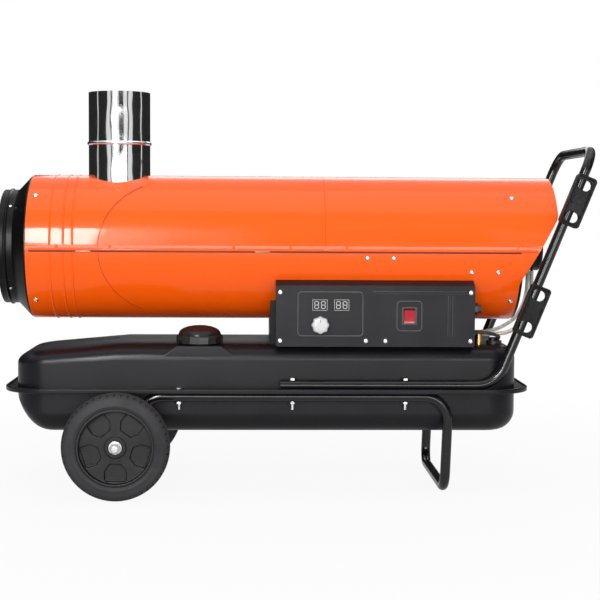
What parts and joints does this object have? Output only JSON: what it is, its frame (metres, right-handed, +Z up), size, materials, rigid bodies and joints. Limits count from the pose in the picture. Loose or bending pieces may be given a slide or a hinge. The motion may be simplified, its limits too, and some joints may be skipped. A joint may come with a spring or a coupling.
{
  "type": "forced air heater",
  "caption": "Wheeled indirect oil-fired forced air heater: round tube body with warm air outlet, flue, fan, fuel tank, control panel and push handle.",
  "frame": {"origin": "centre of the bounding box on the floor", "axes": "+X from the warm air outlet to the push handle, +Z up, control panel faces -Y"},
  "size_m": [1.1355, 0.4706, 0.764],
  "materials": {
    "orange_paint": "gloss",
    "black_paint": "satin",
    "stainless": "polished",
    "hot_steel": "matt",
    "zinc_steel": "satin",
    "tyre_rubber": "matt",
    "hub_plastic": "matt",
    "black_plastic": "matt",
    "soft_rubber": "matt",
    "clear_hose": "gloss",
    "white_plastic": "gloss",
    "red_plastic": "gloss",
    "display_lens": "gloss",
    "board_green": "matt",
    "brass": "satin",
    "cast_alloy": "matt"
  },
  "bodies": {
    "heater": {"axle": "zinc_steel", "axle_nuts": "zinc_steel", "axle_spacers": "zinc_steel", "axle_washers": "zinc_steel", "body_support": "black_paint", "burner_tube": "hot_steel", "chamber_brackets": "hot_steel", "chassis_frame": "black_paint", "combustion_chamber": "hot_steel", "control_board": "board_green", "control_box": "black_paint", "control_panel": "black_paint", "cord_gland": "black_plastic", "cord_hook_bolts": "zinc_steel", "cord_hooks": "black_plastic", "drain_plug": "zinc_steel", "fan_guard": "black_paint", "fan_shroud": "black_paint", "filler_neck": "black_paint", "flue_pipe": "stainless", "frame_bolts": "zinc_steel", "frame_nuts": "zinc_steel", "fuel_nozzle": "brass", "fuel_pickup": "brass", "fuel_pump": "black_paint", "ignition_electrodes": "white_plastic", "ignition_transformer": "black_plastic", "knob_encoder": "black_plastic", "level_sender": "black_plastic", "lower_shell": "orange_paint", "motor_body": "cast_alloy", "motor_bracket": "black_paint", "nozzle_pipe": "brass", "outlet_cone": "black_paint", "panel_screws": "zinc_steel", "pressure_hose": "clear_hose", "push_handle": "black_paint", "rivets": "zinc_steel", "room_display": "display_lens", "sender_cable": "soft_rubber", "set_display": "display_lens", "shell_screws": "zinc_steel", "solenoid_valve": "brass", "supply_hose": "clear_hose", "switch_frame": "black_plastic", "tank_lower": "black_paint", "tank_upper": "black_paint", "upper_front_shell": "orange_paint", "upper_rear_shell": "orange_paint"},
    "left_wheel": {"wheel_tyre_left": "tyre_rubber", "wheel_hub_left": "hub_plastic"},
    "right_wheel": {"wheel_tyre_right": "tyre_rubber", "wheel_hub_right": "hub_plastic"},
    "fan": {"fan_impeller": "black_plastic", "motor_shaft": "zinc_steel"},
    "cap_carrier": {"cap_gasket": "soft_rubber"},
    "cap": {"fuel_cap": "black_plastic"},
    "knob": {"thermostat_knob": "white_plastic", "knob_shaft": "brass"},
    "rocker": {"switch_rocker": "red_plastic"}
  },
  "joints": [
    {"name": "left_wheel_spin", "type": "hinge", "parent": "heater", "child": "left_wheel", "pos_m": [-0.33, -0.2125, 0.1], "axis": [0, 1, 0], "continuous": true},
    {"name": "right_wheel_spin", "type": "hinge", "parent": "heater", "child": "right_wheel", "pos_m": [-0.33, 0.2125, 0.1], "axis": [0, 1, 0], "continuous": true},
    {"name": "fan_spin", "type": "hinge", "parent": "heater", "child": "fan", "pos_m": [0.345, 0, 0.463], "axis": [1, 0, 0], "continuous": true},
    {"name": "cap_lift", "type": "slide", "parent": "heater", "child": "cap_carrier", "axis": [0, 0, 1], "range_m": [0, 0.025]},
    {"name": "cap_turn", "type": "hinge", "parent": "cap_carrier", "child": "cap", "pos_m": [-0.18, -0.09, 0.3], "axis": [0, 0, 1], "range_deg": [0, 90]},
    {"name": "knob_turn", "type": "hinge", "parent": "heater", "child": "knob", "pos_m": [0.0485, -0.16, 0.3216], "axis": [0, -1, 0], "range_deg": [-150, 150]},
    {"name": "rocker_tilt", "type": "hinge", "parent": "heater", "child": "rocker", "pos_m": [0.217, -0.1479, 0.339], "axis": [-1, 0, 0], "range_deg": [0, 16]}
  ]
}
